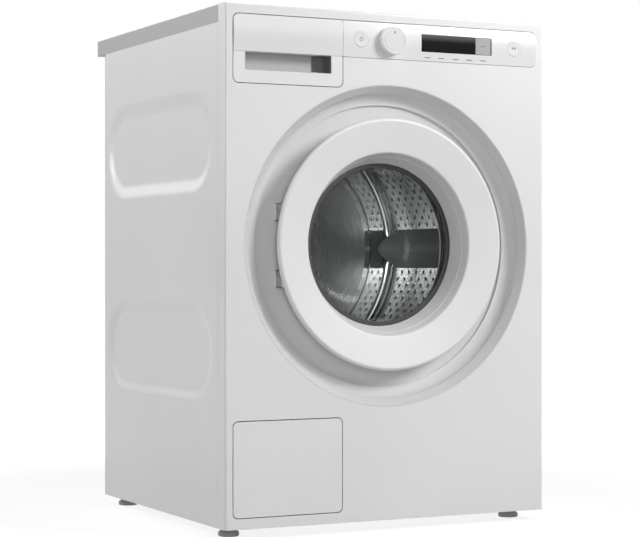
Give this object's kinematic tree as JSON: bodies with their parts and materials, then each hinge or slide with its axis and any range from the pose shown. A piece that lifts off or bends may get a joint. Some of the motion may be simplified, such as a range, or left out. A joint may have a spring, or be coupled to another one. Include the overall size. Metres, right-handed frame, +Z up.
{
  "type": "front-loading washing machine",
  "caption": "Free-standing front-loading washing machine with a round glass door, detergent drawer, programme knob, display, service flap and a sprung tub with a turning drum.",
  "frame": {"origin": "on the floor under the middle of the bounding box", "axes": "+X to the right of a person facing the door, the door faces -Y, +Z up"},
  "size_m": [0.595, 0.598, 0.85],
  "materials": {
    "white_enamel": "smooth white stove enamel, semi-gloss",
    "white_plastic": "fine satin white moulding",
    "gloss_white": "polished white moulding",
    "worktop_white": "white laminate on board",
    "grey_plastic": "grey moulding",
    "tub_plastic": "glass-filled polypropylene",
    "dark_plastic": "dark moulding",
    "display_black": "dark tinted window",
    "glass": "clear pressed glass",
    "gasket_rubber": "soft grey EPDM",
    "black_rubber": "black rubber",
    "stainless": "brushed stainless steel",
    "zinc_steel": "zinc-plated steel",
    "cast_aluminium": "die-cast",
    "board_green": "lacquered circuit board",
    "concrete": "cast concrete",
    "foot_grey": "grey coated steel foot with a threaded stem"
  },
  "bodies": {
    "root": {"side_panel_left": "white_enamel", "side_panel_right": "white_enamel", "rear_panel": "zinc_steel", "rear_cover": "zinc_steel", "base_tray": "zinc_steel", "front_panel": "white_enamel", "worktop": "worktop_white", "porthole_surround": "white_enamel", "porthole_floor": "white_plastic", "door_gasket": "gasket_rubber", "hinge_bracket": "zinc_steel", "door_lock": "dark_plastic", "fascia": "gloss_white", "display_window": "display_black", "control_board": "board_green", "drawer_housing": "grey_plastic", "inlet_valve": "white_plastic", "tub_hoses": "black_rubber", "drain_hose": "black_rubber", "drain_spigot": "grey_plastic", "cord_gland": "dark_plastic", "pump_body": "dark_plastic", "strut_cylinders": "zinc_steel", "strut_springs": "zinc_steel", "screws": "zinc_steel"},
    "tub": {"tub_front": "tub_plastic", "tub_rear": "tub_plastic", "heater": "stainless", "counterweights": "concrete", "bearing_hub": "cast_aluminium", "bearings": "zinc_steel", "shaft_seal": "black_rubber", "motor_body": "cast_aluminium", "drive_belt": "black_rubber", "strut_rods": "zinc_steel"},
    "drum": {"drum_shell": "stainless", "drum_lifters": "grey_plastic", "drum_spider": "cast_aluminium", "drum_shaft": "zinc_steel", "drum_pulley": "cast_aluminium"},
    "rotor": {"motor_rotor": "zinc_steel", "motor_pulley": "zinc_steel"},
    "door": {"door_front_ring": "white_plastic", "door_bezel": "white_plastic", "door_back_frame": "white_plastic", "door_glass": "glass", "door_hook": "zinc_steel", "hinge_pin": "zinc_steel"},
    "drawer": {"drawer_front": "white_plastic", "drawer_strip": "gloss_white", "drawer_tray": "white_plastic"},
    "flap": {"service_flap": "white_plastic"},
    "knob": {"program_knob": "gloss_white"},
    "power_key": {"power_button": "gloss_white"},
    "start_key": {"start_button": "gloss_white"},
    "filter": {"filter_cap": "grey_plastic"},
    "foot_fl": {"foot_front_left": "foot_grey"},
    "foot_fr": {"foot_front_right": "foot_grey"},
    "foot_rl": {"foot_rear_left": "foot_grey"},
    "foot_rr": {"foot_rear_right": "foot_grey"}
  },
  "joints": [
    {"name": "door_hinge", "type": "hinge", "parent": "root", "child": "door", "pos_m": [-0.1885, -0.274, 0.467], "axis": [0, 0, -1], "range_deg": [0, 110]},
    {"name": "drawer_slide", "type": "slide", "parent": "root", "child": "drawer", "axis": [0, -1, 0], "range_m": [0, 0.24]},
    {"name": "flap_hinge", "type": "hinge", "parent": "root", "child": "flap", "pos_m": [-0.186, -0.28, 0.047], "axis": [1, 0, 0], "range_deg": [0, 90]},
    {"name": "knob_turn", "type": "hinge", "parent": "root", "child": "knob", "pos_m": [0, -0.293, 0.804], "axis": [0, 1, 0], "continuous": true},
    {"name": "power_press", "type": "slide", "parent": "root", "child": "power_key", "axis": [0, 1, 0], "range_m": [0, 0.0014], "stiffness_N_per_m": 900},
    {"name": "start_press", "type": "slide", "parent": "root", "child": "start_key", "axis": [0, 1, 0], "range_m": [0, 0.0014], "stiffness_N_per_m": 900},
    {"name": "filter_turn", "type": "hinge", "parent": "root", "child": "filter", "pos_m": [-0.235, -0.235, 0.095], "axis": [0, 1, 0], "range_deg": [-90, 0]},
    {"name": "tub_bounce", "type": "slide", "parent": "root", "child": "tub", "axis": [0, 0, 1], "range_m": [-0.008, 0.008], "stiffness_N_per_m": 24000, "springref_m": 0.01422, "deforming": ["strut_springs", "tub_hoses", "door_gasket"]},
    {"name": "drum_spin", "type": "hinge", "parent": "tub", "child": "drum", "pos_m": [0, 0.015, 0.467], "axis": [0, 1, 0], "continuous": true},
    {"name": "motor_spin", "type": "hinge", "parent": "tub", "child": "rotor", "pos_m": [0.06, 0.115, 0.14], "axis": [0, 1, 0], "continuous": true},
    {"name": "foot_fl_screw", "type": "slide", "parent": "root", "child": "foot_fl", "axis": [0, 0, 1], "range_m": [-0.012, 0]},
    {"name": "foot_fr_screw", "type": "slide", "parent": "root", "child": "foot_fr", "axis": [0, 0, 1], "range_m": [-0.012, 0]},
    {"name": "foot_rl_screw", "type": "slide", "parent": "root", "child": "foot_rl", "axis": [0, 0, 1], "range_m": [-0.012, 0]},
    {"name": "foot_rr_screw", "type": "slide", "parent": "root", "child": "foot_rr", "axis": [0, 0, 1], "range_m": [-0.012, 0]}
  ],
  "couplings": [
    {"joint": "motor_spin", "follows": "drum_spin", "ratio": 14}
  ]
}
